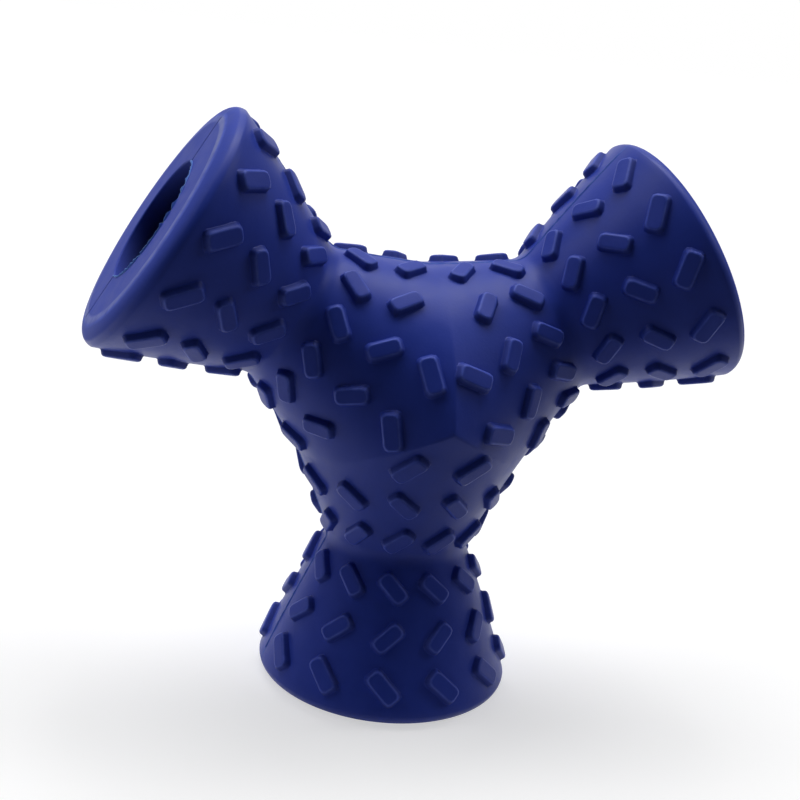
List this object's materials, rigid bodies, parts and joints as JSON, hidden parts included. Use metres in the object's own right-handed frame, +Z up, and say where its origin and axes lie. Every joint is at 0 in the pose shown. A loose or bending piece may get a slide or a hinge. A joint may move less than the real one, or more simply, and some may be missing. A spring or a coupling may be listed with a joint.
{
  "type": "treat-dispensing pet toy",
  "caption": "Hollow rubber chew toy of three flared hourglass arms in a Y, with slanted nubs and round mouths that let treats out.",
  "frame": {"origin": "middle of the lower arm's mouth face, on the surface that the toy stands on", "axes": "+Z up along the lower arm to the hub, the three arms in the XZ plane, front towards -Y"},
  "size_m": [0.1528, 0.0676, 0.1331],
  "materials": {
    "shell_rubber": "satin moulded natural rubber, blue all through",
    "bond_rubber": "thin flash of bonding rubber, a little lighter"
  },
  "bodies": {
    "root": {"front_shell": "shell_rubber", "back_shell": "shell_rubber", "seam_bead_top": "bond_rubber", "seam_bead_right": "bond_rubber", "seam_bead_left": "bond_rubber"}
  },
  "joints": []
}
